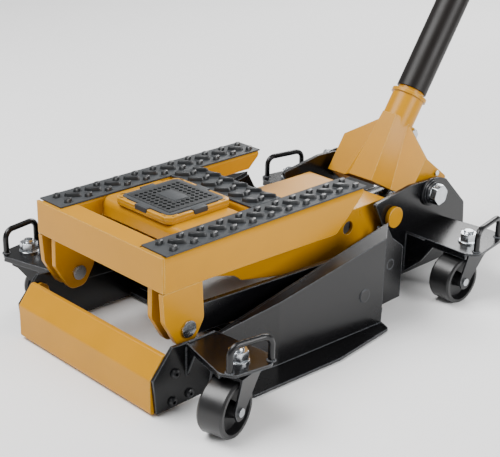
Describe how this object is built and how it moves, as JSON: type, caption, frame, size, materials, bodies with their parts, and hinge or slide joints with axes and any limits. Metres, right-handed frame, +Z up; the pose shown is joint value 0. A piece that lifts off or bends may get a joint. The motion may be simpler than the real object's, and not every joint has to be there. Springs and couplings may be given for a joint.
{
  "type": "platform trolley jack",
  "caption": "Wide low trolley jack on swivel casters, with a padded parallelogram-lift platform, lift-out saddle, hydraulic ram and long pump handle.",
  "frame": {"origin": "on the floor under the middle of the whole jack's box at rest", "axes": "+Z up; +Y to the rear, where the handle is; +X to the jack's right-hand side"},
  "size_m": [0.5292, 1.2618, 1.0968],
  "materials": {
    "black_paint": "gloss black powder coat",
    "yellow_paint": "gloss ochre enamel",
    "black_fasteners": "black oxide",
    "zinc_steel": "bright zinc plate",
    "machined_steel": "ground steel",
    "caster_black": "satin black",
    "wheel_plastic": "moulded black nylon",
    "pad_rubber": "moulded charcoal rubber",
    "sleeve_black": "satin black coat",
    "grip_rubber": "ribbed black rubber"
  },
  "bodies": {
    "chassis": {"right_side_plate": "black_paint", "left_side_plate": "black_paint", "right_frame_rail": "black_paint", "left_frame_rail": "black_paint", "right_rear_plate": "black_paint", "left_rear_plate": "black_paint", "front_bar": "yellow_paint", "front_bar_bolts": "black_fasteners", "tie_bar": "black_paint", "rear_floor_plate": "black_paint", "front_outriggers": "black_paint", "rear_outriggers": "black_paint", "carry_loops": "black_paint", "caster_studs": "zinc_steel", "link_rear_pins": "black_paint", "handle_pivot_bolts": "zinc_steel", "power_unit": "black_paint", "ram_cylinder": "machined_steel", "filler_plug": "zinc_steel", "return_springs": "zinc_steel"},
    "arm": {"lift_arm": "yellow_paint", "arm_shaft": "yellow_paint", "arm_front_bush": "machined_steel", "arm_trunnion_pin": "black_fasteners"},
    "links": {"right_link": "black_paint", "left_link": "black_paint"},
    "platform": {"right_platform_rail": "yellow_paint", "left_platform_rail": "yellow_paint", "platform_front_plate": "yellow_paint", "saddle_bridge": "yellow_paint", "rear_bridge": "yellow_paint", "clevis_ears": "yellow_paint", "platform_pins": "zinc_steel", "right_rail_pad": "pad_rubber", "left_rail_pad": "pad_rubber", "cross_pad": "pad_rubber"},
    "saddle_unit": {"saddle": "yellow_paint", "saddle_pad": "pad_rubber"},
    "ram": {"ram_yoke": "machined_steel", "ram_rod": "machined_steel"},
    "pump": {"pump_plunger": "machined_steel"},
    "valve": {"release_valve": "zinc_steel"},
    "socket": {"handle_socket": "yellow_paint", "pump_roller": "zinc_steel", "socket_bolts": "zinc_steel"},
    "handle": {"handle_tube": "yellow_paint", "handle_sleeve": "sleeve_black", "handle_grip": "grip_rubber"},
    "front_right_caster": {"front_right_fork": "caster_black", "front_right_axle": "zinc_steel"},
    "front_right_roller": {"front_right_wheel": "wheel_plastic"},
    "front_left_caster": {"front_left_fork": "caster_black", "front_left_axle": "zinc_steel"},
    "front_left_roller": {"front_left_wheel": "wheel_plastic"},
    "rear_right_caster": {"rear_right_fork": "caster_black", "rear_right_axle": "zinc_steel"},
    "rear_right_roller": {"rear_right_wheel": "wheel_plastic"},
    "rear_left_caster": {"rear_left_fork": "caster_black", "rear_left_axle": "zinc_steel"},
    "rear_left_roller": {"rear_left_wheel": "wheel_plastic"}
  },
  "joints": [
    {"name": "arm_lift", "type": "hinge", "parent": "chassis", "child": "arm", "pos_m": [0, -0.0969, 0.126], "axis": [-1, 0, 0], "range_deg": [-9, 43]},
    {"name": "link_swing", "type": "hinge", "parent": "chassis", "child": "links", "pos_m": [0, -0.1569, 0.0774], "axis": [-1, 0, 0], "range_deg": [-9, 43]},
    {"name": "platform_level", "type": "hinge", "parent": "arm", "child": "platform", "pos_m": [0, -0.49629, 0.148], "axis": [-1, 0, 0], "range_deg": [-43, 9]},
    {"name": "saddle_lift_out", "type": "slide", "parent": "platform", "child": "saddle_unit", "axis": [0, 0, 1], "range_m": [0, 0.045]},
    {"name": "ram_stroke", "type": "slide", "parent": "chassis", "child": "ram", "axis": [0, -1, 0], "range_m": [-0.0078, 0.0366]},
    {"name": "handle_pump", "type": "hinge", "parent": "chassis", "child": "socket", "pos_m": [0, -0.0019, 0.144], "axis": [-1, 0, 0], "range_deg": [-24, 41]},
    {"name": "pump_stroke", "type": "slide", "parent": "chassis", "child": "pump", "axis": [0, 0, 1], "range_m": [-0.0172, 0.0102]},
    {"name": "handle_twist", "type": "hinge", "parent": "socket", "child": "handle", "pos_m": [0, -0.02131, 0.15724], "axis": [0, 0.5635, 0.8261], "range_deg": [-90, 90]},
    {"name": "valve_turn", "type": "hinge", "parent": "chassis", "child": "valve", "pos_m": [0, 0.0411, 0.044], "axis": [0, 1, 0], "range_deg": [-90, 90]},
    {"name": "front_right_swivel", "type": "hinge", "parent": "chassis", "child": "front_right_caster", "pos_m": [0.23, -0.5549, 0.08], "axis": [0, 0, 1], "continuous": true},
    {"name": "front_right_spin", "type": "hinge", "parent": "front_right_caster", "child": "front_right_roller", "pos_m": [0.23726, -0.58401, 0.0375], "axis": [0.9703, 0.2419, 0], "continuous": true},
    {"name": "front_left_swivel", "type": "hinge", "parent": "chassis", "child": "front_left_caster", "pos_m": [-0.23, -0.5549, 0.08], "axis": [0, 0, 1], "continuous": true},
    {"name": "front_left_spin", "type": "hinge", "parent": "front_left_caster", "child": "front_left_roller", "pos_m": [-0.20879, -0.53369, 0.0375], "axis": [-0.7071, 0.7071, 0], "continuous": true},
    {"name": "rear_right_swivel", "type": "hinge", "parent": "chassis", "child": "rear_right_caster", "pos_m": [0.196, -0.0189, 0.08], "axis": [0, 0, 1], "continuous": true},
    {"name": "rear_right_spin", "type": "hinge", "parent": "rear_right_caster", "child": "rear_right_roller", "pos_m": [0.19495, -0.04888, 0.0375], "axis": [0.9994, -0.0349, 0], "continuous": true},
    {"name": "rear_left_swivel", "type": "hinge", "parent": "chassis", "child": "rear_left_caster", "pos_m": [-0.196, -0.0189, 0.08], "axis": [0, 0, 1], "continuous": true},
    {"name": "rear_left_spin", "type": "hinge", "parent": "rear_left_caster", "child": "rear_left_roller", "pos_m": [-0.19495, -0.04888, 0.0375], "axis": [0.9994, 0.0349, 0], "continuous": true}
  ],
  "couplings": [
    {"joint": "link_swing", "follows": "arm_lift", "ratio": 1},
    {"joint": "platform_level", "follows": "arm_lift", "ratio": -1},
    {"joint": "ram_stroke", "follows": "arm_lift", "m_per_rad": 0.0483},
    {"joint": "pump_stroke", "follows": "handle_pump", "m_per_rad": -0.0236},
    {"joint": "valve_turn", "follows": "handle_twist", "ratio": 1}
  ]
}
